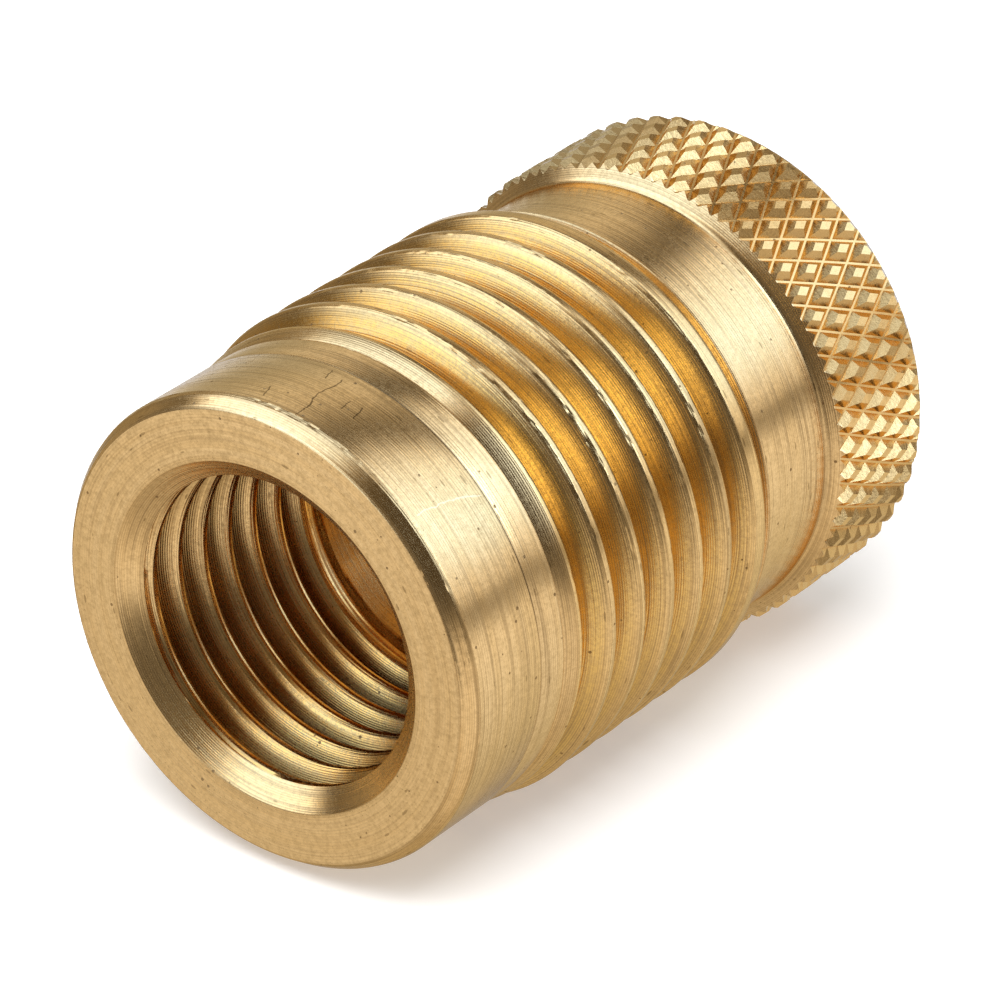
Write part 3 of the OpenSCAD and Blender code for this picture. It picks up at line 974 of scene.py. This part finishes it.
def studio_color(n):
    """The cards' colour in a direction, for reflections."""
    direction = n.add("TexCoord").outputs["Generated"]
    toward = n.vector("DOT_PRODUCT", direction, tuple(to_viewer))
    sideways = n.vector("DOT_PRODUCT", direction, tuple(across))
    up = n.vector("DOT_PRODUCT", direction, (0, 0, 1))
    turn = n.math("ARCTAN2", sideways, toward)
    share = n.math("MULTIPLY_ADD", turn, 1 / (2 * math.pi), 0.5)

    def row(place, cards):
        return n.ramp(place, [(0.5 + turned_by / 360, card_color(*card)) for turned_by, *card in cards])

    # The edges of the cards lean, so each tool mark shows them at a different place
    low_place = n.math("MULTIPLY_ADD", n.math("ADD", up, LOW_DEPTH), LOW_LEAN, share)
    middle_place = n.math("MULTIPLY_ADD", up, MIDDLE_LEAN, share)
    color = n.mix(n.span(up, *LOW_TO_SHELF), row(low_place, LOW_CARDS), row(share, SHELF_CARDS))
    from_front = n.math("ABSOLUTE", n.math("SUBTRACT", share, 0.5))
    over_shelf = n.math("SUBTRACT", up, n.span(from_front, *FRONT, FRONT_RISE, 0.0))
    over_shelf = n.span(over_shelf, *SHELF_TO_MIDDLE, smooth=False)
    color = n.mix(over_shelf, color, row(middle_place, MIDDLE_CARDS))
    color = n.mix(n.span(up, *MIDDLE_TO_HIGH), color, row(share, HIGH_CARDS))
    behind = n.times(n.span(from_front, *BEHIND), n.fall(up, *BEHIND_HEIGHTS))
    color = n.mix(behind, color, BEHIND_COLOR)
    return n.mix(n.fall(up, *BELOW_HEIGHTS), color, BELOW_COLOR)


def studio_world():
    """Soft boxes and darker cards round the part, drawn by direction."""
    world = bpy.data.worlds.new("studio")
    world.use_nodes = True
    n = Nodes(world.node_tree)
    cards, plain = n.add("Background"), n.add("Background")
    path = n.add("LightPath")
    n.put(cards.inputs["Color"], studio_color(n))
    n.put(plain.inputs["Color"], n.mix(path.outputs["Is Camera Ray"], PLAIN_LIGHT, BACKDROP))
    light = n.mix_shader(path.outputs["Is Glossy Ray"], plain.outputs[0], cards.outputs[0])
    n.put(n.add("OutputWorld").inputs["Surface"], light)
    bpy.context.scene.world = world


def floor_material():
    """Pale and a little glowing for the camera.

    It fades out round the part, and from below it isn't there, so the underside can be looked at.
    """
    material = new_material("floor")
    n = Nodes(material.node_tree)
    diffuse, glow, both = n.add("BsdfDiffuse"), n.add("Emission"), n.add("AddShader")
    diffuse.inputs["Color"].default_value = FLOOR_COLOR
    glow.inputs["Color"].default_value = (1, 1, 1, 1)
    n.put(glow.inputs["Strength"], n.times(n.add("LightPath").outputs["Is Camera Ray"], FLOOR_GLOW))
    n.put(both.inputs[0], diffuse.outputs[0])
    n.put(both.inputs[1], glow.outputs[0])
    away = n.vector("DISTANCE", n.add("TexCoord").outputs["Object"], (0, 0, TOTAL_L / 2 * MM))
    gone = n.math("MAXIMUM", n.add("NewGeometry").outputs["Backfacing"], n.span(away, *FLOOR_FADE))
    top_only = n.mix_shader(gone, both.outputs[0], n.add("BsdfTransparent").outputs[0])
    n.put(n.add("OutputMaterial").inputs["Surface"], top_only)
    return material


def add_floor():
    """The table that the part lies on in the photograph, touching its ribs from below."""
    middle = -RIB_R * MM * above
    along = Vector((0, 0, FLOOR_HALF))
    side = FLOOR_HALF * above.cross(Vector((0, 0, 1)))
    mesh = bpy.data.meshes.new("floor")
    corners = [middle - side - along, middle + side - along, middle + side + along, middle - side + along]
    mesh.from_pydata(corners, [], [(0, 1, 2, 3)])
    if mesh.polygons[0].normal.dot(above) < 0:
        mesh.flip_normals()
    mesh.materials.append(floor_material())
    floor = bpy.data.objects.new("floor", mesh)
    bpy.context.scene.collection.objects.link(floor)
    floor.visible_glossy = False
    floor.visible_shadow = False


def add_key_lamp():
    data = bpy.data.lights.new("key", "AREA")
    data.shape = "SQUARE"
    data.size = KEY_SIZE
    data.energy = KEY_ENERGY
    lamp = bpy.data.objects.new("key", data)
    flat = math.cos(KEY_AZIMUTH) * to_viewer + math.sin(KEY_AZIMUTH) * across
    toward = math.cos(KEY_ELEVATION) * flat + Vector((0, 0, math.sin(KEY_ELEVATION)))
    lamp.location = toward * KEY_DISTANCE
    lamp.rotation_euler = toward.to_track_quat("Z", "Y").to_euler()
    bpy.context.scene.collection.objects.link(lamp)
    lamp.visible_glossy = False


studio_world()
add_floor()
add_key_lamp()
bpy.context.scene.view_settings.view_transform = "Standard"
